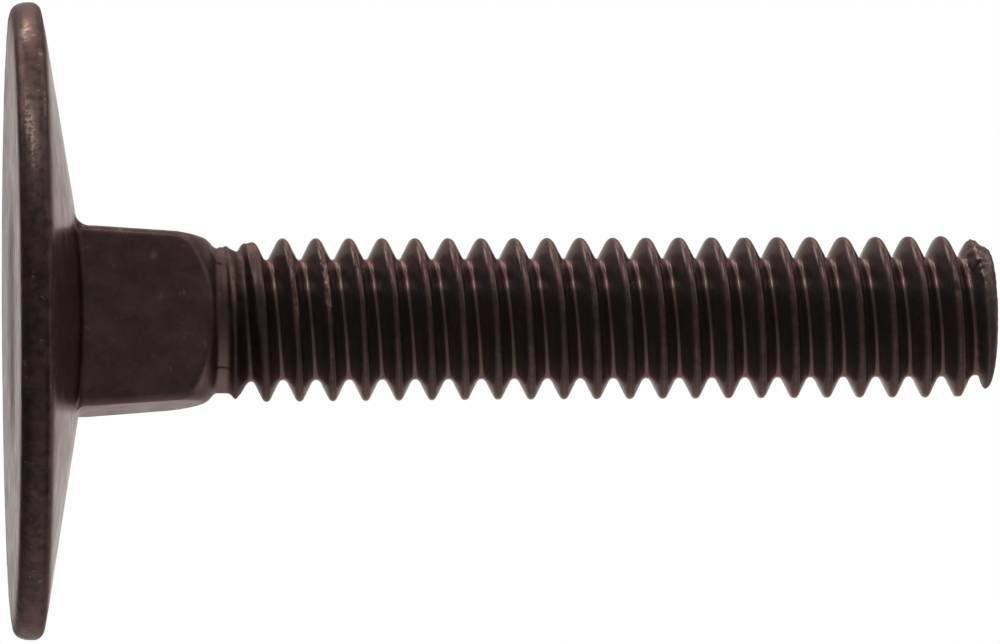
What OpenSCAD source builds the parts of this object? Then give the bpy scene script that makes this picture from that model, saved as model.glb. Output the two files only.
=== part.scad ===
// Elevator bolt: a cold-headed bolt with a wide flat head, a tapered square neck
// and a rolled right-hand thread, in millimetres.
// It stands on its head: the flat face lies on z = 0 and the shank points up +Z.
// The four flats of the neck face +X, -X, +Y and -Y.

/* [Head] */
// Diameter of the head
head_d = 24.4; // [20:0.1:28]
// Height of the head's rim, up to where the cone under the head starts
rim_h = 1.13; // [0.9:0.01:1.6]
// Radius that rolls the flat face into the rim
face_edge_r = 0.5; // [0.2:0.05:0.6]
// Radius that rolls the rim into the cone
seat_edge_r = 0.3; // [0.1:0.05:0.3]
// Angle between the cone under the head and the flat face
seat_angle = 9.4; // [6:0.1:14]

/* [Square neck] */
// Width across the flats where the neck leaves the head
neck_w = 6.94; // [6.4:0.02:7.4]
// Draft of each flat, which narrows the neck towards the thread
neck_draft = 3.75; // [2:0.25:5]
// Radius along the four corners of the neck
neck_corner_r = 0.35; // [0.2:0.05:0.6]
// Radius of the cove between the neck and the cone under the head
neck_cove_r = 0.25; // [0.1:0.05:0.5]
// Height above the flat face at which the rounded end of the neck meets the shank
neck_end_z = 7.78; // [7:0.02:8.5]
// Radius of the sphere on the axis that rounds the neck's end
neck_end_r = 6.15; // [5:0.05:8]

/* [Thread] */
// Height of the whole bolt, from the flat face to the tip
bolt_l = 37.7; // [30:0.1:60]
// Diameter of the plain shank, on which the thread was rolled
shank_d = 5.56; // [5.4:0.02:5.8]
// Diameter over the crests of the thread
major_d = 6.2; // [6.1:0.02:6.32]
// Diameter at the bottom of the roots
minor_d = 4.62; // [4.5:0.02:4.7]
// Distance between two crests: 20 threads to the inch
pitch = 1.27; // [1.27]
// Height of the first full crest, where it passes the +X side
first_crest_z = 9.75; // [9.4:0.01:10.6]
// Length over which the thread fades out below its first full crest
fade_l = 1.8; // [1:0.1:2.5]
// Angle of each flank from a plane across the axis
flank = 27.3; // [26:0.1:30]
// Share of the rounding that the crests have, and the roots have the rest
crest_share = 0.5; // [0.4:0.05:0.8]

/* [Tip] */
// Radius that rounds the last turn of the thread into the flat end
tip_edge_r = 1; // [0.6:0.05:1.4]
// Diameter of the flat end
tip_flat_d = 4.3; // [3.6:0.1:4.6]

/* [Resolution] */
// Steps round one turn of the thread
turn_steps = 36; // [24:4:36]
// Steps round one corner of the neck
corner_steps = 5; // [3:1:8]
// Steps in the cove at the neck's foot
cove_steps = 4; // [2:1:6]

/* [Hidden] */
$fn = 96;

// How far one form runs on inside another before the two are joined
overlap = 0.8;

// Height of the thread's sharp V
sharp_h = pitch / (2 * tan(flank));

// The crest's arc and the root's arc together take up what the depth leaves of the sharp V
arc_sum = (sharp_h - (major_d - minor_d) / 2) / (1 / sin(flank) - 1);
crest_r = crest_share * arc_sum;
root_r = arc_sum - crest_r;

// Section of the thread along one pitch, from below a crest to above the next root,
// as [height from the crest, radius]
crest_side = [crest_r * cos(flank), major_d / 2 - crest_r * (1 - sin(flank))];
root_side = [root_r * cos(flank), minor_d / 2 + root_r * (1 - sin(flank))];
thread_section = [
    [-crest_side[0], crest_side[1]],
    [0, major_d / 2],
    [crest_side[0], crest_side[1]],
    [pitch / 2 - root_side[0], root_side[1]],
    [pitch / 2, minor_d / 2],
    [pitch / 2 + root_side[0], root_side[1]]
];
section_n = len(thread_section);

// The thread's grid starts a whole number of turns below the first full crest,
// and has enough rows to pass the tip all round
thread_z0 = first_crest_z - pitch * ceil(fade_l / pitch + 0.2);
thread_rows = section_n * ceil((bolt_l - thread_z0) / pitch + 0.6);

// Height of the cone under the head at a distance r from the axis
function seat_z(r) = rim_h + (head_d / 2 - r) * tan(seat_angle);

// Half the neck's width at a height z
function neck_half(z) = neck_w / 2 - (z - seat_z(neck_w / 2)) * tan(neck_draft);

// Ring of points round a square of half width w with rounded corners, at a height z
function square_ring(w, z) = [
    for (corner = [0:3], i = [0:corner_steps])
        let (
            a = (corner + i / corner_steps) * 90,
            m = w - neck_corner_r,
            sx = (corner == 0 || corner == 3) ? 1 : -1,
            sy = corner < 2 ? 1 : -1
        )
        [sx * m + neck_corner_r * cos(a), sy * m + neck_corner_r * sin(a), z]
];

// Faces of a loft through rings of n points each, with a cap at either end
function loft_faces(rings, n) = concat(
    [[for (i = [0:n - 1]) i]],
    [for (k = [0:rings - 2], i = [0:n - 1])
        let (a = k * n + i, b = k * n + (i + 1) % n)
        each [[a, a + n, b], [b, a + n, b + n]]],
    [[for (i = [n - 1:-1:0]) (rings - 1) * n + i]]
);

// Share of the thread's full depth at a height z, which fades out towards the neck
function thread_share(z) =
    let (t = min(1, max(0, (z - first_crest_z + fade_l) / fade_l)))
    t * t * (3 - 2 * t);

// Point of the thread's surface: row counts along the section, step goes round the axis
function thread_point(row, step) =
    let (
        p = thread_section[row % section_n],
        a = step * 360 / turn_steps,
        z = thread_z0 + p[0] + pitch * (floor(row / section_n) + step / turn_steps),
        r = shank_d / 2 + (p[1] - shank_d / 2) * thread_share(z)
    )
    [r * cos(a), r * sin(a), z];

// Index of a point of the thread's grid. One step past a full turn is the start of
// the turn above, one section further along.
function grid_index(row, step) =
    step < turn_steps ? row * turn_steps + step : (row + section_n) * turn_steps;

// Section of the head, with both edges of the rim as true arcs
module head_section() {
    r = head_d / 2;
    seat_normal = [sin(seat_angle), cos(seat_angle)];
    seat_centre = [
        r - seat_edge_r,
        rim_h - seat_edge_r * (1 - sin(seat_angle)) / cos(seat_angle)
    ];
    polygon([
        [0, 0],
        [r - face_edge_r, 0],
        [r, face_edge_r],
        [r, seat_centre[1]],
        seat_centre + seat_edge_r * seat_normal,
        [0, seat_z(0)]
    ]);
    translate([r - face_edge_r, face_edge_r]) circle(face_edge_r);
    translate(seat_centre) circle(seat_edge_r);
}

module head() {
    rotate_extrude() head_section();
}

// Drafted square block whose foot opens into the cone under the head with a cove
module neck_block() {
    foot_z = seat_z(neck_w / 2);
    levels = concat(
        [[foot_z - overlap, neck_cove_r]],
        [for (i = [0:cove_steps])
            let (a = i * 90 / cove_steps)
            [foot_z + neck_cove_r * (1 - cos(a)), neck_cove_r * (1 - sin(a))]],
        [[neck_end_z + overlap, 0]]
    );
    rings = [for (level = levels) square_ring(neck_half(level[0]) + level[1], level[0])];
    polyhedron([for (ring = rings) each ring], loft_faces(len(rings), len(rings[0])));
}

// The sphere rounds the end of the block down to the shank and is clear of its foot
module neck() {
    centre_z = neck_end_z - sqrt(neck_end_r ^ 2 - (shank_d / 2) ^ 2);
    intersection() {
        neck_block();
        translate([0, 0, centre_z]) sphere(neck_end_r);
    }
}

// Threaded rod. Its lower end is plain and lies inside the neck, and its upper end
// stands past the tip, to be cut to the tip's outline.
module threaded_rod() {
    s = turn_steps;
    last = thread_rows - 1;
    grid = [for (row = [0:last], step = [0:s - 1]) thread_point(row, step)];
    base = thread_rows * s;
    base_z = neck_end_z - 3 * overlap;
    base_ring = [for (step = [0:s - 1])
        let (a = step * 360 / s)
        [shank_d / 2 * cos(a), shank_d / 2 * sin(a), base_z]];
    centre = base + s;
    thread_faces = [for (row = [0:last - 1], step = [0:s - 1])
        if (grid_index(row + 1, step + 1) < base)
            each [
                [grid_index(row, step), grid_index(row + 1, step), grid_index(row, step + 1)],
                [grid_index(row, step + 1), grid_index(row + 1, step), grid_index(row + 1, step + 1)]
            ]];
    // Plain wall between the base ring and the lowest line of the grid
    wall_faces = concat(
        [for (step = [0:s - 2])
            each [[base + step, step, base + step + 1], [base + step + 1, step, step + 1]]],
        [[base + s - 1, s - 1, base], [base, s - 1, 0]],
        [for (row = [0:section_n - 1]) [row * s, s - 1, (row + 1) * s]]
    );
    // Fan from the highest line of the grid to a point on the axis
    top_faces = concat(
        [for (step = [0:s - 2]) [last * s + step + 1, last * s + step, centre]],
        [[last * s, (last - section_n) * s + s - 1, centre]],
        [for (row = [last - section_n:last - 1]) [row * s + s - 1, (row + 1) * s + s - 1, centre]]
    );
    polyhedron(
        concat(grid, base_ring, [[0, 0, grid[base - 1][2]]]),
        concat(thread_faces, wall_faces, top_faces, [[for (step = [0:s - 1]) base + step]])
    );
}

// Turned outline of the tip: clear of the thread, then a true arc and a flat end
module tip_outline() {
    outer = major_d;
    arc_z = bolt_l - tip_edge_r;
    rotate_extrude() {
        polygon([
            [0, 0],
            [outer, 0],
            [outer, arc_z],
            [tip_flat_d / 2 + tip_edge_r, arc_z],
            [tip_flat_d / 2, bolt_l],
            [0, bolt_l]
        ]);
        translate([tip_flat_d / 2, arc_z]) circle(tip_edge_r);
    }
}

module thread() {
    intersection() {
        threaded_rod();
        tip_outline();
    }
}

module elevator_bolt() {
    color("#3b2e2b") {
        head();
        neck();
        thread();
    }
}

elevator_bolt();
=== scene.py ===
"""Looks of the elevator bolt: one closed surface with its fine forms, dark oxide steel, a pale
floor and a plain soft studio. Lengths in the shape functions are millimetres in the row frame."""

import math

import bpy
import numpy as np
from mathutils import Matrix, Vector, noise


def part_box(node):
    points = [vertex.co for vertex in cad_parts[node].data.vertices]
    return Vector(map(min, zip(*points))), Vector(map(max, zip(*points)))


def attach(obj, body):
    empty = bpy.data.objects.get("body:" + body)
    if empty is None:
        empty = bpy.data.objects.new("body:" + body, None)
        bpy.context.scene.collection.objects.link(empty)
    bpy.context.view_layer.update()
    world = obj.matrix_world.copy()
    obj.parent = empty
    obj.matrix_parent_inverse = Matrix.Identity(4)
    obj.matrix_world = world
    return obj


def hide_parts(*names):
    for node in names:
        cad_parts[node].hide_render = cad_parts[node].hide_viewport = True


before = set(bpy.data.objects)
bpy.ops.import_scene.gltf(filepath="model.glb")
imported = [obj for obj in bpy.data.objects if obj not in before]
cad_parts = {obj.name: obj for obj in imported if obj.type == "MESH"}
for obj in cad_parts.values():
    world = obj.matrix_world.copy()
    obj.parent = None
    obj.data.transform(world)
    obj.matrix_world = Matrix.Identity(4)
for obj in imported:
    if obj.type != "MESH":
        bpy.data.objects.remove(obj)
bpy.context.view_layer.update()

MM = 0.001
NODE = "elevator_bolt"
TURN = 2 * math.pi

# The CAD part's box gives the head's diameter and the bolt's length
low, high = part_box(NODE)
HEAD_R = (high.x - low.x) / 2 / MM
BOLT_L = (high.z - low.z) / MM

# Head: how far the rounding of the rim reaches over the flat face, where the rim is widest and how
# full it is, and the arc from the rim into the cone
FACE_EDGE = 0.5
RIM_MID_Z = 0.75
RIM_FULLNESS = 2.3
RIM_H = 1.13
SEAT_EDGE_R = 0.4
SEAT_EDGE_START = 0.2
SEAT_ANGLE = math.radians(9.4)

# Square neck: it sits a little to the +X side, and a sphere on the axis rounds its end
NECK_HALF = 3.47
NECK_SHIFT = 0.035
NECK_SHIFT_ENDS = (0.6, 1)
NECK_DRAFT = math.radians(3.75)
NECK_CORNER_R = 0.35
NECK_END_Z = 7.75
NECK_END_R = 6.15
NECK_END_BLEND = 0.45

# Cove at the neck's foot, and by how much it is narrower on the +X side and wider on the -X side
COVE_R = 0.4
COVE_CHANGE = 0.1

# Plain shank: it starts with a fine bead, and fine lines run round it
SHANK_R = 2.795
SHANK_BLEND = 0.1
BEAD = 0.022
BEAD_Z = 7.76
BEAD_WIDTH = 0.04
SHANK_LINE_STEP = 0.24
SHANK_LINE_DEPTH = 0.04

# Thread
MAJOR_R = 3.12
MINOR_R = 2.31
PITCH = 1.27
FIRST_CREST_Z = 9.746
CREST_R = 0.178
ROOT_R = 0.19
FLANK = math.radians(27)

# Run-out of the thread: the heights over which each form grows
RIDGE_GROWS = (7.5, 8.6)
RIDGE_NEARS_CREST_LINE = (7.85, 8.5)
GROOVE_DEEPENS = (8.1, 9.4)
FLAT_CREST_GROWS = (8.6, 8.95)
FULL_CREST_GROWS = (9.3, 9.72)

# The ridge that the thread starts with, and its distance above the line of the crest
RIDGE_H = 0.24
RIDGE_WIDTH = 0.15
RIDGE_LEAD = 0.07
RIDGE_FIRST_LEAD = 0.28

# The flattened crest: a full one, stretched and moved along the axis, and the slope that cuts it
# off. Distances on it are scaled down, which makes it wider.
FLAT_CREST_SCALE = 0.85
FLAT_CREST_SHIFT = 0.03
FLAT_CREST_H = 0.16
FLAT_CREST_SLOPE = 0.25
FLAT_CREST_SLOPE_START = -0.1
FLAT_CREST_BLEND = 0.14

# How much taller the crests are towards the neck and towards the tip, the heights over which that
# changes, and how far from a crest it reaches
TALLER_AT_NECK = 0.03
TALLER_AT_TIP = 0.015
TALLER_STARTS = (9.3, 9.7)
TALLER_ENDS = (10, 20)
TALLER_STARTS_AGAIN = (33, 36)
TALLER_REACH = (0, 0.3)

# Tip: it starts to round at this height, and its outline is clear of the thread further down
TIP_R = 3.112
TIP_START_Z = 36.2
TIP_CURVE = 1.5
TIP_FULLNESS = 0.056
TIP_CLEARANCE = 0.3
TIP_CLEARANCE_ENDS = (35.3, 36.3)
TIP_BLEND = 0.05
TIP_MORE_BLEND = 0.3
TIP_BLEND_GROWS = (36.6, 37.3)

# The flat end, and the heights over which the groove fills up below it
TIP_FILL = 0.75
TIP_FILLS = (37.25, 37.62)
TIP_RING_Z = 37.6
TIP_RING_DROPS = (0.07, 0.04, 0.02, 0.008)
END_RING_SHARES = (0.6, 0.5, 0.35, 0.2, 0.08)

# Mesh: columns round the axis, rings of the head and neck, and rows of the thread's section, as
# distances from a crest or from a root
THREAD_COLUMNS = 152
HEAD_COLUMNS = 2 * THREAD_COLUMNS
CORNER_GATHER = 0.5
FACE_RING_SHARES = (0.1, 0.25, 0.4, 0.55, 0.7, 0.82, 0.91, 0.97)
RIM_RINGS = 12
SEAT_EDGE_RINGS = 8
CONE_STEPS = 12
COVE_RINGS = 8
NECK_STEPS = 32
NECK_END_GATHER = 1.8
THREAD_START_Z = 7.86
THREAD_RING_GAP = 0.04
ROW_GAP = 0.02
CREST_ROWS = (-0.158, -0.115, -0.06, 0.0, 0.06, 0.115, 0.158)
FLANK_ROWS = (0.215, 0.28, 0.345, 0.405)
ROOT_ROWS = (-0.169, -0.085, 0.0, 0.085, 0.169)

# Heights over which the neck gives way to the plain shank, and the shank to the thread
NECK_TOP = (7.6, 7.9)
THREAD_BEGINS = (8.0, 9.2)

# Small nicks, drawn at random: how many, their size and depth, and the heights of those on the rim
NICK_SEED = 7
RIM_NICKS = 26
RIM_NICK_Z = (0.12, 0.95)
RIM_NICK_SIZE = (0.15, 0.4)
RIM_NICK_DEPTH = (0.01, 0.03)
CREST_NICKS = 40
CREST_NICK_SIZE = (0.08, 0.16)
CREST_NICK_DEPTH = (0.01, 0.035)

# Places on the bolt: angle in degrees, height, and reach round and along the bolt
RUSTY_PATCH = (264, 10.76, 0.45, 0.16)
RUSTY_STREAK = (243, 8.46, 0.8, 0.18)
CHIPPED_EDGE = (215, 37.15, 2.6, 0.4)
CHIPPED_BARE = (215, 37.1, 2.4, 0.35)
PITTED_BARE = ((244, 11.94, 1.0, 0.2), (260, 12.0, 0.6, 0.2))

# Dents in the crests: depth, further depth by rough noise, and place
CREST_DENTS = (
    (0.03, 0.08, (246, 11.94, 1.1, 0.3)),
    (0.03, 0.08, (261, 12.0, 0.5, 0.3)),
    (0.05, 0.0, (264, 10.76, 0.55, 0.3)),
    (0.01, 0.02, (231, 9.1, 1.0, 0.25)),
)

# Hollows near the tip, one in a crest and one in the edge of the last turn: depth and place
TIP_HOLLOWS = (
    (0.1, (255, 36.02, 0.13, 0.12)),
    (0.09, (0, 37.25, 1.6, 0.2)),
)

# Painted glints on the rim, bright spots that stand in for highlights on its facets, and bare spots
# on the neck: how bright, and place
GLINTS_AND_BARE_SPOTS = (
    (1.0, (210, 0.4, 0.9, 0.16)),
    (0.8, (235, 0.34, 1.2, 0.08)),
    (0.5, (241, 0.5, 1.5, 0.07)),
    (0.9, (219, 1.0, 0.2, 0.09)),
    (0.5, (232, 1.06, 1.2, 0.05)),
    (0.6, (226, 4.15, 0.12, 0.12)),
    (0.5, (236.6, 5.37, 0.12, 0.1)),
    (0.5, (258.8, 5.63, 0.14, 0.1)),
    (0.5, (290, 7.24, 0.06, 0.06)),
)

# Smoother stretches of the rim: how much smoother, and place
POLISHED = (
    (0.18, (210, 0.45, 1.2, 0.3)),
    (0.12, (236, 0.4, 1.6, 0.2)),
)

# Fine laps along the bolt past the neck's end: angle in degrees, height and slant
LAPS = ((222, 7.75, 0.4), (314.4, 7.95, 0.05))
LAP_DEPTH = 0.03
LAP_WIDTH = 0.06
LAP_LENGTH = 0.3

# Colours of the oxide, of what lies on it and of what shows through it, and of the painted light
# and shade on it
DARK = (0.062, 0.038, 0.036, 1)
BROWN = (0.098, 0.058, 0.052, 1)
# Painted light: a paler, greyer tone that lifts the shade of the thread's flanks
FLANK_LIFT = (0.118, 0.104, 0.099, 1)
# Paler tone, partly painted light and painted highlight
PALE_AND_LIT = (0.27, 0.19, 0.17, 1)
RUST = (0.3, 0.155, 0.1, 1)
# Dark blots, also painted shade on the run-out
BLOT_AND_SHADE = (0.03, 0.026, 0.02, 1)
# Pale steel of scuffs and flecks, also the painted glints
STEEL_AND_GLINT = (0.45, 0.36, 0.3, 1)
# Very dark tone of the laps' seams, also painted shade on the run-out
LAP_AND_SHADE = (0.012, 0.01, 0.01, 1)
OXIDE_TINT = (0.72, 0.58, 0.55, 1)
BARE_TINT = (1.0, 0.85, 0.81, 1)

# Camera, from the fit of the thread's crests and the head's outline in the photograph
LENS = 310.8
SENSOR = 36
CAMERA_DISTANCE = 329.92
CAMERA_Z = -10.316
CAMERA_TILT = 0.08786
CAMERA_DIP = 0.00035
CAMERA_ROLL = 0.0050008
CAMERA_TURN = math.radians(4.5)

# Studio: level by direction, from the camera's side (Y = -1) to behind the bolt (Y = 1), the share
# of it that is left towards the bolt's two ends, and the Z between them at which it is full
STUDIO_LEVELS = (
    (-1.0, 0.26),
    (-0.93, 0.33),
    (-0.77, 0.48),
    (-0.5, 0.6),
    (0.0, 0.72),
    (0.5, 0.95),
    (0.77, 0.9),
    (0.92, 0.6),
    (0.97, 0.85),
    (1.0, 1.2),
)
STUDIO_ENDS = 0.22
STUDIO_MIDDLE = 0.08

# Soft patches of light above the bolt: direction, level and half width in degrees, and the share
# of that width over which a patch has its full level
PATCHES = (
    ((-0.72, 0.39, -0.57), 3.1, 19),
    ((-0.79, 0.36, 0.49), 1.7, 15),
    ((-0.81, 0.585, -0.03), 1.7, 19),
    ((-0.96, -0.15, -0.23), 0.7, 20),
    ((-0.9, -0.43, -0.02), 4.0, 13),
    ((-0.77, -0.32, 0.54), 1.0, 15),
    ((-0.77, -0.33, -0.54), 0.7, 17),
    ((0.1, 0.42, 0.9), 1.0, 28),
)
PATCH_CORE = 0.4

# Softbox high over the bolt, in metres, and the level at which it is seen
SOFTBOX_PLACE = (-0.25, -0.05, 0.40)
SOFTBOX_AIM = (0, 0, 0.018)
SOFTBOX_SIZE = 0.3
SOFTBOX_LEVEL = 0.6

FLOOR_HALF = 2.0


def rise(span, value):
    """Smooth step from 0 at the span's start to 1 at its end."""
    start, end = span
    t = np.clip((value - start) / (end - start), 0, 1)
    return t * t * (3 - 2 * t)


def fall(span, value):
    """Smooth step from 1 at the span's start to 0 at its end."""
    start, end = span
    return rise((end, start), value)


def bell(distance, width):
    """Soft bump, 1 at its middle and about a third of that at its width."""
    return np.exp(-((distance / width) ** 2))


def smooth_min(a, b, width):
    h = np.clip(0.5 + 0.5 * (b - a) / width, 0, 1)
    return b + (a - b) * h - width * h * (1 - h)


def smooth_max(a, b, width):
    return -smooth_min(-a, -b, width)


def noise_at(points, size, seed):
    """Smooth noise from -1 to 1 at points in millimetres, with spots about size across."""
    shift = Vector((seed * 13.7, seed * 7.3, seed * 3.1))
    return np.array([noise.noise(Vector(p) / size + shift) for p in points])


def column_angles(count):
    """Angles of the columns, closer together at the neck's four corners."""
    t = np.arange(count) / count * 4
    quarter = np.floor(t)
    part = t - quarter
    return (quarter + part + CORNER_GATHER * np.sin(TURN * part) / TURN) * math.pi / 2


HEAD_ANGLES = column_angles(HEAD_COLUMNS)
THREAD_ANGLES = column_angles(THREAD_COLUMNS)


def around(angles, radius, z):
    """Ring of points at those angles. radius and z are numbers or one value for each angle."""
    radius = np.broadcast_to(radius, angles.shape)
    z = np.broadcast_to(z, angles.shape)
    return np.stack([radius * np.cos(angles), radius * np.sin(angles), z], axis=1)


def seat_z(radius):
    """Height of the cone under the head at a distance from the axis."""
    return RIM_H + (HEAD_R - radius) * math.tan(SEAT_ANGLE)


def neck_half(z):
    """Half the neck's width at a height."""
    return NECK_HALF - (z - seat_z(NECK_HALF)) * math.tan(NECK_DRAFT)


def square_radius(half, corner_r):
    """Distance of each column from the axis, on a square of that half width with round corners."""
    folded = np.abs((HEAD_ANGLES + math.pi / 4) % (math.pi / 2) - math.pi / 4)
    side = half / np.cos(folded)
    inset = half - corner_r
    along = inset * (np.cos(folded) + np.sin(folded))
    arc = along + np.sqrt(np.maximum(along**2 - 2 * inset**2 + corner_r**2, 0))
    return np.where(half * np.tan(folded) <= inset, side, arc)


def shifted(rings, shares):
    """Rings of the neck, each moved to the +X side by a share of the neck's shift."""
    for ring, share in zip(rings, shares):
        ring[:, 0] += NECK_SHIFT * share
    return rings


def face_rings():
    """The flat face, from near its centre to the edge."""
    flat_r = HEAD_R - FACE_EDGE
    return [around(HEAD_ANGLES, flat_r * share, 0.0) for share in FACE_RING_SHARES]


def rim_rings():
    """The rim: a full rounding from the flat face, slightly barrelled, and an arc into the cone."""
    rings = []
    power = 2 / RIM_FULLNESS
    for a in np.linspace(0, math.pi / 2, RIM_RINGS):
        radius = HEAD_R - FACE_EDGE + FACE_EDGE * math.sin(a) ** power
        z = RIM_MID_Z * (1 - max(math.cos(a), 0) ** power)
        rings.append(around(HEAD_ANGLES, radius, z))
    centre_r = HEAD_R - SEAT_EDGE_R
    centre_z = RIM_H - SEAT_EDGE_R * (1 - math.sin(SEAT_ANGLE)) / math.cos(SEAT_ANGLE)
    for a in np.linspace(SEAT_EDGE_START, math.pi / 2 - SEAT_ANGLE, SEAT_EDGE_RINGS):
        radius = centre_r + SEAT_EDGE_R * math.cos(a)
        rings.append(around(HEAD_ANGLES, radius, centre_z + SEAT_EDGE_R * math.sin(a)))
    return rings


def cone_rings(cove_foot):
    """The cone under the head, between the rim's arc and the cove's outer ring."""
    outer_r = HEAD_R - SEAT_EDGE_R + SEAT_EDGE_R * math.sin(SEAT_ANGLE)
    inner_r = np.hypot(cove_foot[:, 0], cove_foot[:, 1])
    rings = []
    for share in np.linspace(0, 1, CONE_STEPS + 1)[1:-1]:
        radius = outer_r + (inner_r - outer_r) * share
        rings.append(around(HEAD_ANGLES, radius, seat_z(radius)))
    return rings


def cove_rings():
    """The cove from the cone up to the neck's sides."""
    rings = []
    size = COVE_R - COVE_CHANGE * np.cos(HEAD_ANGLES)
    foot = seat_z(NECK_HALF)
    for a in np.linspace(0, math.pi / 2, COVE_RINGS):
        reach = size * (1 - math.sin(a))
        height = size * (1 - math.cos(a))
        radius = square_radius(neck_half(foot + height) + reach, NECK_CORNER_R + reach)
        rings.append(around(HEAD_ANGLES, radius, seat_z(radius) + height))
    return shifted(rings, np.linspace(0, 1, len(rings)))


def neck_rings(neck_foot):
    """The neck's drafted sides and the sphere that rounds their end, down to the plain shank."""
    rings = []
    foot_z = neck_foot[:, 2]
    shares = np.linspace(0, 1, NECK_STEPS + 1)[1:]
    centre_z = NECK_END_Z - math.sqrt(NECK_END_R**2 - SHANK_R**2)
    for share in shares:
        z = foot_z + (THREAD_START_Z - foot_z) * (1 - (1 - share) ** NECK_END_GATHER)
        sides = square_radius(neck_half(z), NECK_CORNER_R)
        end = np.sqrt(NECK_END_R**2 - (z - centre_z) ** 2)
        radius = smooth_min(sides, end, NECK_END_BLEND)
        radius = smooth_max(radius, np.full_like(z, SHANK_R), SHANK_BLEND)
        radius += BEAD * bell(z - BEAD_Z, BEAD_WIDTH)
        rings.append(around(HEAD_ANGLES, radius, z))
    return shifted(rings, fall(NECK_SHIFT_ENDS, shares))


def section_radius(offset):
    """Radius of the full thread at a distance from the crest along the axis."""
    offset = np.abs(offset)
    from_root = np.maximum(PITCH / 2 - offset, 0)
    crest_side = CREST_R * math.cos(FLANK)
    root_side = ROOT_R * math.cos(FLANK)
    crest_side_r = MAJOR_R - CREST_R * (1 - math.sin(FLANK))
    root_side_r = MINOR_R + ROOT_R * (1 - math.sin(FLANK))
    slope = (crest_side_r - root_side_r) / (PITCH / 2 - root_side - crest_side)
    crest = MAJOR_R - CREST_R + np.sqrt(np.maximum(CREST_R**2 - offset**2, 0))
    root = MINOR_R + ROOT_R - np.sqrt(np.maximum(ROOT_R**2 - from_root**2, 0))
    radius = np.where(offset < crest_side, crest, crest_side_r - (offset - crest_side) * slope)
    return np.where(from_root < root_side, root, radius)


def crest_offset(angle, z):
    """Distance along the axis from the nearest crest."""
    turns = (z - FIRST_CREST_Z) / PITCH - angle / TURN
    return (turns - np.round(turns)) * PITCH


def ridge_height(offset, crest_z):
    """Height over the shank of the low ridge with which the thread starts. The ridge begins
    beside the line of the crest and nears it."""
    centre = RIDGE_LEAD + RIDGE_FIRST_LEAD * fall(RIDGE_NEARS_CREST_LINE, crest_z)
    return RIDGE_H * rise(RIDGE_GROWS, crest_z) * bell(offset - centre, RIDGE_WIDTH)


def flat_crest_height(offset):
    """Height over the shank of the flattened crest between the ridge and the first full crest."""
    wide = section_radius(FLAT_CREST_SCALE * (offset + FLAT_CREST_SHIFT)) - SHANK_R
    slope = FLAT_CREST_SLOPE * np.maximum(offset - FLAT_CREST_SLOPE_START, 0)
    return smooth_min(np.maximum(wide, 0), FLAT_CREST_H + slope, FLAT_CREST_BLEND)


def taller_by(offset, z, crest_z):
    """How much taller than the section the full crests are."""
    taller = TALLER_AT_NECK * fall(TALLER_ENDS, z) + TALLER_AT_TIP * rise(TALLER_STARTS_AGAIN, z)
    return taller * rise(TALLER_STARTS, crest_z) * fall(TALLER_REACH, np.abs(offset))


def tip_radius(z):
    """Outline of the tip, which rounds off the last turn and is clear of the others."""
    t = np.clip((z - TIP_START_Z) / (BOLT_L - TIP_START_Z), 0, 1)
    rounded = TIP_R * (1 - t**TIP_CURVE) ** TIP_FULLNESS
    return rounded + TIP_CLEARANCE * fall(TIP_CLEARANCE_ENDS, z)


def thread_radius(angle, z):
    """Radius of the thread's surface. In the run-out a low ridge grows into a flattened crest and
    then into a full one, while the groove between them deepens. At the tip the groove fills up."""
    offset = crest_offset(angle, z)
    crest_z = z - offset
    full = section_radius(offset) - SHANK_R
    groove = np.minimum(full, 0) * rise(GROOVE_DEEPENS, z)
    above = ridge_height(offset, crest_z)
    above += (flat_crest_height(offset) - above) * rise(FLAT_CREST_GROWS, crest_z)
    above += (np.maximum(full, 0) - above) * rise(FULL_CREST_GROWS, crest_z)
    above += taller_by(offset, z, crest_z)
    outline = tip_radius(z)
    blend = TIP_BLEND + TIP_MORE_BLEND * rise(TIP_BLEND_GROWS, z)
    radius = smooth_min(SHANK_R + groove + above, outline, blend)
    return radius + (outline - radius) * TIP_FILL * rise(TIP_FILLS, z)


def section_offsets():
    """Distances from the crest, along one pitch, at which the thread's grid has its rows."""
    rows = list(CREST_ROWS) + list(FLANK_ROWS)
    rows += [PITCH / 2 + s for s in ROOT_ROWS]
    rows += [PITCH - s for s in reversed(FLANK_ROWS)]
    return rows


def tip_rings():
    """The last of the rounding at the tip and its flat end, which the groove notches."""
    edge_r = thread_radius(THREAD_ANGLES, np.full_like(THREAD_ANGLES, TIP_RING_Z))
    rings = []
    for drop in TIP_RING_DROPS:
        share = tip_radius(BOLT_L - drop) / tip_radius(TIP_RING_Z)
        rings.append(around(THREAD_ANGLES, edge_r * share, BOLT_L - drop))
    for share in END_RING_SHARES:
        rings.append(around(THREAD_ANGLES, edge_r * share, BOLT_L))
    return rings


def neighbours(count):
    """Each column's number with that of the next one round the axis."""
    return [(j, (j + 1) % count) for j in range(count)]


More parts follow.
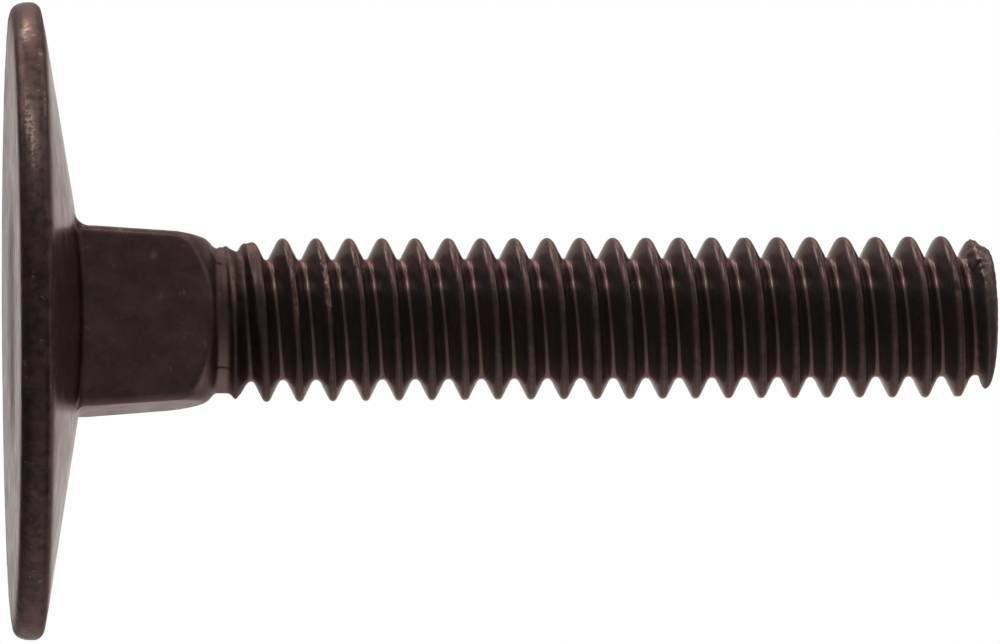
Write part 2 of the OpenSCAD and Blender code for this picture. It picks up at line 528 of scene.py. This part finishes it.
class Surface:
    """Points and faces of the closed surface, built up ring by ring. A ring of the surface is
    held as the numbers of its points."""

    def __init__(self):
        self.points = []
        self.faces = []

    def add_ring(self, ring):
        first = len(self.points)
        self.points.extend(ring)
        return list(range(first, first + len(ring)))

    def add_rings(self, rings, below):
        """Rings of as many points as the one below, each joined to the one before it."""
        for ring in rings:
            ids = self.add_ring(ring)
            for j, k in neighbours(len(ids)):
                self.faces.append((below[j], below[k], ids[k], ids[j]))
            below = ids
        return below

    def add_coarser(self, ring, below):
        """Ring with half as many points as the one below it."""
        ids = self.add_ring(ring)
        for j, k in neighbours(len(ids)):
            middle = below[2 * j + 1]
            self.faces.append((below[2 * j], middle, ids[j]))
            self.faces.append((middle, below[2 * k], ids[k]))
            self.faces.append((ids[j], middle, ids[k]))
        return ids

    def add_pole(self, z, ring):
        """Point on the axis and its fan of faces. Seen from outside, the ring runs
        counterclockwise."""
        pole = len(self.points)
        self.points.append(np.array([0.0, 0.0, z]))
        for j, k in neighbours(len(ring)):
            self.faces.append((pole, ring[j], ring[k]))

    def add_row(self, row, below, start_z, above, end_z):
        """Row of the thread's grid. In place of a point under start_z or over end_z, it has the
        point of the ring below or above."""
        ids = []
        for j, point in enumerate(row):
            if point[2] < start_z:
                ids.append(below[j])
            elif point[2] > end_z:
                ids.append(above[j])
            else:
                ids.append(len(self.points))
                self.points.append(point)
        return ids

    def join_rows(self, rows, turn_rows):
        """Faces of the helical grid. The last column joins the first one a turn further up."""
        for i in range(len(rows) - 1 - turn_rows):
            for j, k in neighbours(len(rows[i])):
                up = i + turn_rows if k == 0 else i
                corners = (rows[i][j], rows[up][k], rows[up + 1][k], rows[i + 1][j])
                kept = [c for n, c in enumerate(corners) if c != corners[n - 1]]
                if len(set(kept)) == len(kept) and len(kept) > 2:
                    self.faces.append(tuple(kept))

    def add_thread(self, below, start_z, end_z):
        """Helical grid between the ring at start_z and a new one at end_z."""
        end_r = thread_radius(THREAD_ANGLES, np.full_like(THREAD_ANGLES, end_z))
        above = self.add_ring(around(THREAD_ANGLES, end_r, end_z))
        offsets = section_offsets()
        first_turn = math.floor((start_z - FIRST_CREST_Z) / PITCH) - 2
        last_turn = math.ceil((end_z - FIRST_CREST_Z) / PITCH) + 1
        rows = []
        for turn in range(first_turn, last_turn + 1):
            for offset in offsets:
                z = FIRST_CREST_Z + PITCH * (turn + THREAD_ANGLES / TURN) + offset
                row = around(THREAD_ANGLES, thread_radius(THREAD_ANGLES, z), z)
                rows.append(self.add_row(row, below, start_z + ROW_GAP, above, end_z - ROW_GAP))
        self.join_rows(rows, len(offsets))
        return above


def bolt_surface():
    """The whole bolt, from the middle of the flat face to the middle of the tip's end."""
    surface = Surface()
    face = face_rings()
    cove = cove_rings()
    ring = surface.add_ring(face[0])
    surface.add_pole(0.0, ring[::-1])
    rings = face[1:] + rim_rings() + cone_rings(cove[0]) + cove + neck_rings(cove[-1])
    ring = surface.add_rings(rings, ring)
    start_z = THREAD_START_Z + THREAD_RING_GAP
    ring = surface.add_coarser(around(THREAD_ANGLES, SHANK_R, start_z), ring)
    ring = surface.add_thread(ring, start_z, TIP_RING_Z)
    ring = surface.add_rings(tip_rings(), ring)
    surface.add_pole(BOLT_L, ring)
    return surface


class Parts:
    """How much each point belongs to each part of the bolt, from 0 to 1, and where it lies on the
    thread. The parts fade into each other over the spans given here."""

    def __init__(self, points):
        x, y, z = points.T
        self.points = points
        self.z = z
        self.radius = np.hypot(x, y)
        self.angle = np.arctan2(y, x) % TURN
        self.offset = crest_offset(self.angle, z)
        from_crest = np.abs(self.offset)

        head = fall((2.4, 2.6), z)
        on_seat = fall((0.01, 0.06), np.abs(z - seat_z(self.radius)))
        self.cone = on_seat * fall((11.6, 11.85), self.radius) * head
        self.face = fall((11.5, 11.75), self.radius) * fall((0.05, 0.1), z)
        self.rim = head * (1 - self.cone) * (1 - self.face) * rise((8, 11), self.radius)
        self.neck = rise((2.4, 2.7), z) * fall(NECK_TOP, z)
        self.rest = np.clip(1 - self.face - self.rim - self.cone - self.neck, 0, 1)

        self.shank = rise(NECK_TOP, z) * fall(THREAD_BEGINS, z)
        self.thread = rise(THREAD_BEGINS, z) * fall((37.4, 37.65), z)
        self.run_out = rise((8.15, 8.5), z) * fall((9.5, 10.2), z)
        self.tip = rise((36.5, 37.1), z)
        self.crest = self.thread * fall((0.06, 0.24), from_crest)
        deep = self.thread * rise((8.9, 9.8), z)
        self.root = deep * fall((0.06, 0.16), PITCH / 2 - from_crest)

        line = around(self.angle, MAJOR_R, z - self.offset)
        self.crest_line = np.where(self.thread[:, None] > 0, line, points)

    def turn_from(self, angle):
        """Angle of each point in radians, counted both ways from an angle in degrees."""
        return (self.angle - math.radians(angle) + math.pi) % TURN - math.pi

    def near(self, angle, z, reach, z_reach):
        """Soft spot round a place on the bolt, 1 at its middle."""
        across = self.turn_from(angle) * self.radius
        return bell(across, reach) * bell(self.z - z, z_reach)


def dent(parts, radius, angle, z, size):
    """Round hollow at that distance from the axis, 1 deep at its middle."""
    centre = (radius * math.cos(angle), radius * math.sin(angle), z)
    return bell(np.linalg.norm(parts.points - centre, axis=1), size)


def dents(parts):
    """Small nicks on the rim and the crests, all round the bolt."""
    draw = np.random.RandomState(NICK_SEED)
    depth = np.zeros(len(parts.z))
    for _ in range(RIM_NICKS):
        angle = draw.uniform(0, TURN)
        z = draw.choice(RIM_NICK_Z)
        nick = dent(parts, HEAD_R, angle, z, draw.uniform(*RIM_NICK_SIZE))
        depth += draw.uniform(*RIM_NICK_DEPTH) * nick
    turns = math.floor((BOLT_L - FIRST_CREST_Z) / PITCH)
    for _ in range(CREST_NICKS):
        angle = draw.uniform(0, TURN)
        z = FIRST_CREST_Z + PITCH * (draw.randint(0, turns) + angle / TURN)
        nick = dent(parts, MAJOR_R, angle, z, draw.uniform(*CREST_NICK_SIZE))
        depth += draw.uniform(*CREST_NICK_DEPTH) * nick
    return depth


def laps(parts):
    """The fine laps that run along the bolt past the neck's end."""
    total = np.zeros(len(parts.z))
    for angle, z, slant in LAPS:
        across = parts.turn_from(angle) * parts.radius - slant * (parts.z - z)
        total += bell(across, LAP_WIDTH) * np.exp(-(((parts.z - z) / LAP_LENGTH) ** 4))
    return total


def shank_lines(parts):
    """The fine lines round the upper side of the plain shank, from 0 to 1."""
    upper = fall((-1.0, 0.4), parts.points[:, 0])
    lines = 0.5 - 0.5 * np.cos(TURN * (parts.z - BEAD_Z) / SHANK_LINE_STEP)
    return parts.shank * (1 - parts.thread) * upper * lines


def crest_seam(parts):
    """The fine seam that rolling left along the crests, here and there."""
    wander = 0.04 * noise_at(parts.crest_line, 0.8, 6)
    seam = bell(parts.offset - wander, 0.035)
    return parts.crest * seam * rise((0.0, 0.4), noise_at(parts.crest_line, 2.2, 7))


def wear(parts, rough):
    """Depth of the dented crests, the hollows and the chipped edge of the last turn."""
    depth = sum(level * parts.near(*place) for level, place in TIP_HOLLOWS)
    for even, rugged, place in CREST_DENTS:
        depth += parts.near(*place) * parts.crest * (even + rugged * rough)
    chips = np.maximum(1 - 2 * np.abs(noise_at(parts.points, 0.34, 14)), 0)
    return depth + parts.near(*CHIPPED_EDGE) * (0.02 + 0.1 * chips + 0.05 * rough)


def uneven(parts):
    """Depth in millimetres by which each point lies under the ideal surface."""
    broad = noise_at(parts.points, 1.3, 1)
    close = noise_at(parts.points, 0.45, 2)
    fine = noise_at(parts.points, 0.3, 11)
    rough = noise_at(parts.points, 0.17, 9)
    on_face = noise_at(parts.points / (1, 1, 0.1), 2.6, 3)
    bands = noise_at(parts.points * (0.12, 0.12, 1), 0.33, 4)
    along_crest = noise_at(parts.crest_line, 1.4, 5)
    layers = (
        (parts.rim, 0.01, broad),
        (parts.rim, 0.012, close),
        (parts.face, 0.003, on_face),
        (parts.neck, 0.005, bands),
        (parts.neck, 0.004, broad),
        (parts.thread, 0.002, close),
        (parts.crest, 0.005, along_crest),
        (parts.crest, 0.007, fine),
        (parts.crest, 0.004, rough),
        (parts.tip, 0.003, close),
        (parts.tip, 0.008, rough),
    )
    depth = sum(share * level * (1 + waves) for share, level, waves in layers)
    depth += 0.01 * crest_seam(parts)
    depth += SHANK_LINE_DEPTH * shank_lines(parts)
    depth += LAP_DEPTH * laps(parts)
    return depth + wear(parts, rough) + dents(parts)


def head_dullness(parts):
    """How dull the face, the cone and the rim are."""
    x, y, z = parts.points.T
    ripple = noise_at(parts.points * (1, 0.4, 1), 2.4, 12)
    stain = fall((3.4, 5), np.abs(x)) * rise((-5.5, -2), y) * fall((0.1, 0.8), y)
    worn_ring = rise((3.5, 5.2), parts.radius)
    face_edge = rise((10.3, 11.5), parts.radius)
    cone_edge = rise((10.2, 11.6), parts.radius)
    rim_edges = fall((0.1, 0.3), z) + rise((0.8, 1.05), z)
    face = 0.37 - 0.07 * worn_ring + 0.06 * face_edge + 0.08 * stain + 0.03 * ripple
    cone = 0.24 + 0.06 * cone_edge + 0.02 * ripple
    rim = 0.36 + 0.08 * rim_edges
    return face * parts.face + cone * parts.cone + rim * parts.rim


def set_finish(mesh, parts):
    """The values that the material reads. Each is a sum of shares of the surface by a level."""
    x, y, z = parts.points.T
    # Painted highlight: the lower side of the plain shank is made paler
    lower_shank_painted_light = rise(NECK_TOP, z) * fall((8.05, 8.3), z) * rise((-0.3, 2.4), x)
    # Painted light on the thread's flanks, which lie in shade; the smaller share in the run-out is
    # painted shade there
    flanks = parts.thread * (1 - parts.crest) * (1 - parts.root) * (1 - 0.6 * parts.run_out)
    pits = sum(parts.near(*place) for place in PITTED_BARE) * parts.crest
    chipped = parts.near(*CHIPPED_BARE)
    patch = parts.near(*RUSTY_PATCH) * fall((0.2, 0.3), np.abs(parts.offset))
    streak = parts.near(*RUSTY_STREAK)
    glints_and_bare_spots = sum(level * parts.near(*place) for level, place in GLINTS_AND_BARE_SPOTS)
    polished = sum(level * parts.near(*place) for level, place in POLISHED)
    finish = {
        "dull": (
            (head_dullness(parts), 1),
            (parts.neck, 0.34),
            (parts.rest, 0.24 + 0.22 * parts.shank + 0.18 * parts.tip),
            (parts.crest, 0.04),
            (parts.root, -0.09),
            (parts.run_out, 0.08),
            (pits, -0.12),
            (chipped, -0.2),
            (polished, -1),
        ),
        "grain": (
            (parts.face, 0.3),
            (parts.rim, 0.8),
            (parts.cone, 0.1),
            (parts.neck, 0.45),
            (parts.rest, 0.5 - 0.3 * parts.thread + 0.5 * parts.tip),
        ),
        "bare": ((parts.face, 0.8), (parts.cone, 1)),
        # Paler tone: on the roots partly paler oxide and partly a painted highlight, paler on the
        # neck, on the cone painted light that lifts the shade it reflects, on the shank's lower
        # side a painted highlight
        "pale": (
            (parts.root, 0.27),
            (parts.neck, 0.18),
            (parts.cone, 0.45),
            (lower_shank_painted_light, 1),
        ),
        "flank_lift": ((flanks, 1),),
        # Dark seams of the laps, and painted shade that darkens the run-out to dim the light it
        # reflects, as the next value also does
        "laps_and_shade": ((laps(parts), 1), (parts.run_out * (1 - streak), 0.18)),
        "blots_and_shade": (
            (parts.rim, 1),
            (parts.neck, 0.3),
            (parts.tip, 0.5),
            (shank_lines(parts), 0.9),
            # Painted shade on the run-out
            (parts.run_out, 0.7),
        ),
        "browned": (
            (patch, 0.7),
            (streak, 0.9),
            # The painted glints on the rim also take some of this brown
            (parts.tip, 0.1),
            (glints_and_bare_spots, 0.5),
            (pits, 0.15),
            (chipped, 0.12),
        ),
        # Pale steel: painted glints on the rim, and wear on the streak, pits, chipped edge and
        # crests
        "wear_and_glints": (
            (glints_and_bare_spots, 0.8),
            (streak, 0.2),
            (pits, 0.2),
            (chipped, 0.1),
            (parts.crest, 0.04),
        ),
    }
    for name, levels in finish.items():
        values = sum(share * level for share, level in levels)
        layer = mesh.attributes.new(name, "FLOAT", "POINT")
        layer.data.foreach_set("value", np.clip(values, 0, 1).astype(np.float32))


def make_bolt():
    surface = bolt_surface()
    points = np.array(surface.points)
    mesh = bpy.data.meshes.new("bolt_surface")
    mesh.from_pydata((points * MM).tolist(), [], surface.faces)
    mesh.validate()
    parts = Parts(points)
    normals = np.array([v.normal for v in mesh.vertices])
    moved = points - normals * np.maximum(uneven(parts), 0)[:, None]
    mesh.vertices.foreach_set("co", (moved * MM).astype(np.float32).ravel())
    mesh.update()
    for polygon in mesh.polygons:
        polygon.use_smooth = True
    set_finish(mesh, parts)
    bolt = bpy.data.objects.new("bolt", mesh)
    bpy.context.scene.collection.objects.link(bolt)
    return bolt


def set_inputs(tree, node, inputs):
    """Sets each of those inputs to a plain value, or feeds it from another node's output."""
    for name, value in inputs.items():
        if isinstance(value, bpy.types.NodeSocket):
            tree.links.new(value, node.inputs[name])
        else:
            node.inputs[name].default_value = value


def add_node(tree, kind, inputs, **settings):
    """Node with those settings and inputs."""
    node = tree.nodes.new(kind)
    for name, value in settings.items():
        setattr(node, name, value)
    set_inputs(tree, node, inputs)
    return node


def math_out(tree, operation, first, second):
    inputs = {0: first, 1: second}
    return add_node(tree, "ShaderNodeMath", inputs, operation=operation).outputs[0]


def multiply(tree, first, second):
    return math_out(tree, "MULTIPLY", first, second)


def mix_colour(tree, factor, first, second):
    inputs = {0: factor, 6: first, 7: second}
    return add_node(tree, "ShaderNodeMix", inputs, data_type="RGBA").outputs[2]


def mix_number(tree, factor, first, second):
    inputs = {0: factor, 2: first, 3: second}
    return add_node(tree, "ShaderNodeMix", inputs, data_type="FLOAT").outputs[0]


def map_range(tree, source, before, after, curve="SMOOTHSTEP"):
    """The source with the range before brought to the range after."""
    inputs = {
        "Value": source,
        "From Min": before[0],
        "From Max": before[1],
        "To Min": after[0],
        "To Max": after[1],
    }
    node = add_node(tree, "ShaderNodeMapRange", inputs, interpolation_type=curve)
    return node.outputs["Result"]


def noise_out(tree, scale, detail, roughness):
    """Noise fixed to the bolt. scale counts its spots to the metre."""
    coords = add_node(tree, "ShaderNodeTexCoord", {})
    inputs = {
        "Vector": coords.outputs["Object"],
        "Scale": scale,
        "Detail": detail,
        "Roughness": roughness,
    }
    return add_node(tree, "ShaderNodeTexNoise", inputs).outputs["Fac"]


def finish_out(tree, name, level=1.0):
    """One of the values that set_finish gives the mesh, times a level."""
    value = add_node(tree, "ShaderNodeAttribute", {}, attribute_name=name).outputs["Fac"]
    return value if level == 1.0 else multiply(tree, value, level)


def oxide_colour(tree, patches, specks):
    """Mottled brown oxide with, in turn, each tone that lies over it, painted light and shade among
    them.
    """
    colour = mix_colour(tree, map_range(tree, patches, (0.35, 0.7), (0.0, 1.0)), DARK, BROWN)
    speck_share = map_range(tree, specks, (0.4, 0.65), (0.2, 1.0))
    blots = map_range(tree, noise_out(tree, 2300.0, 5.0, 0.65), (0.42, 0.64), (0.0, 0.8))
    scuffs = map_range(tree, noise_out(tree, 4600.0, 4.0, 0.65), (0.44, 0.6), (0.0, 1.0))
    flecks = map_range(tree, noise_out(tree, 3300.0, 2.0, 0.5), (0.66, 0.76), (0.0, 0.3))
    layers = (
        (finish_out(tree, "flank_lift", 0.8), FLANK_LIFT),
        (finish_out(tree, "pale", 0.45), PALE_AND_LIT),
        (multiply(tree, finish_out(tree, "browned"), speck_share), RUST),
        (multiply(tree, finish_out(tree, "blots_and_shade"), blots), BLOT_AND_SHADE),
        (multiply(tree, finish_out(tree, "wear_and_glints"), scuffs), STEEL_AND_GLINT),
        (multiply(tree, finish_out(tree, "grain"), flecks), STEEL_AND_GLINT),
        (finish_out(tree, "laps_and_shade"), LAP_AND_SHADE),
    )
    for share, tone in layers:
        colour = mix_colour(tree, share, colour, tone)
    return colour


def oxide_material():
    """Dark brown oxide on steel: duller on the head, smoother where the thread was rolled."""
    material = bpy.data.materials.new("dark_steel")
    material.use_nodes = True
    tree = material.node_tree
    patches = noise_out(tree, 900.0, 5.0, 0.6)
    specks = noise_out(tree, 4200.0, 4.0, 0.65)
    fine = noise_out(tree, 6500.0, 3.0, 0.6)
    mottling = map_range(tree, patches, (0.3, 0.7), (0.85, 1.15))
    relief = {
        "Distance": 0.02 * MM,
        "Strength": finish_out(tree, "grain", 0.5),
        "Height": math_out(tree, "ADD", multiply(tree, specks, 1.5), fine),
    }
    surface = {
        "Metallic": 0.88,
        "Base Color": oxide_colour(tree, patches, specks),
        "Specular Tint": mix_colour(tree, finish_out(tree, "bare"), OXIDE_TINT, BARE_TINT),
        "Roughness": multiply(tree, finish_out(tree, "dull"), mottling),
        "Normal": add_node(tree, "ShaderNodeBump", relief).outputs["Normal"],
    }
    set_inputs(tree, tree.nodes["Principled BSDF"], surface)
    return material


def floor_material():
    """Pale floor. It is clear from below, because the photograph's camera is a little under it,
    and clear to reflections and shadows, so that the bolt lies in open light."""
    material = bpy.data.materials.new("pale_floor")
    material.use_nodes = True
    tree = material.node_tree
    path = add_node(tree, "ShaderNodeLightPath", {}).outputs
    below = add_node(tree, "ShaderNodeNewGeometry", {}).outputs["Backfacing"]
    pale = tree.nodes["Principled BSDF"]
    surface = {
        "Base Color": (0.9, 0.9, 0.9, 1),
        "Roughness": 0.9,
        "Emission Color": (1, 1, 1, 1),
        "Emission Strength": multiply(tree, path["Is Camera Ray"], 0.2),
    }
    set_inputs(tree, pale, surface)
    clear = add_node(tree, "ShaderNodeBsdfTransparent", {})
    let_through = math_out(tree, "MAXIMUM", below, path["Is Glossy Ray"])
    let_through = math_out(tree, "MAXIMUM", let_through, path["Is Shadow Ray"])
    inputs = {0: let_through, 1: pale.outputs[0], 2: clear.outputs[0]}
    mixed = add_node(tree, "ShaderNodeMixShader", inputs).outputs[0]
    set_inputs(tree, tree.nodes["Material Output"], {"Surface": mixed})
    return material


def make_floor():
    corners = [(x * FLOOR_HALF, y * FLOOR_HALF, 0) for x, y in ((-1, -1), (1, -1), (1, 1), (-1, 1))]
    mesh = bpy.data.meshes.new("floor")
    mesh.from_pydata(corners, [], [(0, 1, 2, 3)])
    mesh.materials.append(floor_material())
    floor = bpy.data.objects.new("floor", mesh)
    bpy.context.scene.collection.objects.link(floor)


def light_patch(tree, direction, aim, level, half_width):
    """Soft round bright patch of the studio in the direction aim."""
    inputs = {0: direction, 1: Vector(aim).normalized()}
    dot = add_node(tree, "ShaderNodeVectorMath", inputs, operation="DOT_PRODUCT")
    outer = math.cos(math.radians(half_width))
    core = math.cos(math.radians(half_width) * PATCH_CORE)
    return map_range(tree, dot.outputs["Value"], (outer, core), (0.0, level))


def studio_ramp(tree, along_y):
    """Level of the studio from the camera's side to behind the bolt."""
    place = map_range(tree, along_y, (-1, 1), (0, 1), "LINEAR")
    ramp = add_node(tree, "ShaderNodeValToRGB", {0: place})
    elements = ramp.color_ramp.elements
    while len(elements) < len(STUDIO_LEVELS):
        elements.new(0.5)
    for element, (y, level) in zip(elements, STUDIO_LEVELS):
        element.position = (y + 1) / 2
        element.color = (level, level, level, 1)
    return ramp.outputs[0]


def make_world():
    """Soft studio: bright behind the bolt and above it, dimmer round the camera and towards the
    bolt's two ends, with soft patches of light above. The camera sees plain white."""
    world = bpy.data.worlds.new("studio")
    bpy.context.scene.world = world
    world.use_nodes = True
    tree = world.node_tree
    direction = add_node(tree, "ShaderNodeTexCoord", {}).outputs["Generated"]
    split = add_node(tree, "ShaderNodeSeparateXYZ", {0: direction}).outputs
    from_middle = math_out(tree, "SUBTRACT", split["Z"], STUDIO_MIDDLE)
    towards_ends = math_out(tree, "ABSOLUTE", from_middle, 0)
    ends = map_range(tree, towards_ends, (0, 1), (1, STUDIO_ENDS))
    total = multiply(tree, studio_ramp(tree, split["Y"]), ends)
    for aim, level, half_width in PATCHES:
        patch = light_patch(tree, direction, aim, level, half_width)
        total = math_out(tree, "ADD", total, patch)
    path = add_node(tree, "ShaderNodeLightPath", {})
    seen = mix_number(tree, path.outputs["Is Camera Ray"], total, 1.0)
    set_inputs(tree, tree.nodes["Background"], {"Color": seen})


def make_softbox():
    """Square area light that faces the bolt."""
    data = bpy.data.lights.new("high_softbox", "AREA")
    data.size = SOFTBOX_SIZE
    data.energy = SOFTBOX_LEVEL * math.pi * SOFTBOX_SIZE**2
    softbox = bpy.data.objects.new("high_softbox", data)
    softbox.location = SOFTBOX_PLACE
    aim = Vector(SOFTBOX_AIM) - Vector(SOFTBOX_PLACE)
    softbox.rotation_euler = aim.to_track_quat("-Z", "Y").to_euler()
    bpy.context.scene.collection.objects.link(softbox)


def make_camera():
    """Camera where the photograph's was, just below the height of the flat face."""
    turn = Matrix.Rotation(CAMERA_TURN, 3, "Z")
    right = Vector((0, -math.sin(CAMERA_TILT), math.cos(CAMERA_TILT)))
    level = Vector((0, math.cos(CAMERA_TILT), math.sin(CAMERA_TILT)))
    side = Vector((1, 0, 0))
    forward = math.cos(CAMERA_DIP) * level + math.sin(CAMERA_DIP) * side
    down = math.cos(CAMERA_DIP) * side - math.sin(CAMERA_DIP) * level
    across = turn @ (math.cos(CAMERA_ROLL) * right + math.sin(CAMERA_ROLL) * down)
    upward = turn @ (math.sin(CAMERA_ROLL) * right - math.cos(CAMERA_ROLL) * down)
    backward = turn @ -forward
    place = turn @ Vector((0, -CAMERA_DISTANCE, CAMERA_Z)) * MM
    data = bpy.data.cameras.new("camera")
    data.lens = LENS
    data.sensor_width = SENSOR
    data.clip_start = 0.01
    data.clip_end = 20
    camera = bpy.data.objects.new("camera", data)
    turned = Matrix((across, upward, backward)).transposed().to_4x4()
    camera.matrix_world = Matrix.Translation(place) @ turned
    bpy.context.scene.collection.objects.link(camera)
    bpy.context.scene.camera = camera


bolt = make_bolt()
bolt.data.materials.append(oxide_material())
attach(bolt, "root")
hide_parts(NODE)

make_floor()
make_world()
make_softbox()
make_camera()

bpy.context.scene.view_settings.view_transform = "Standard"
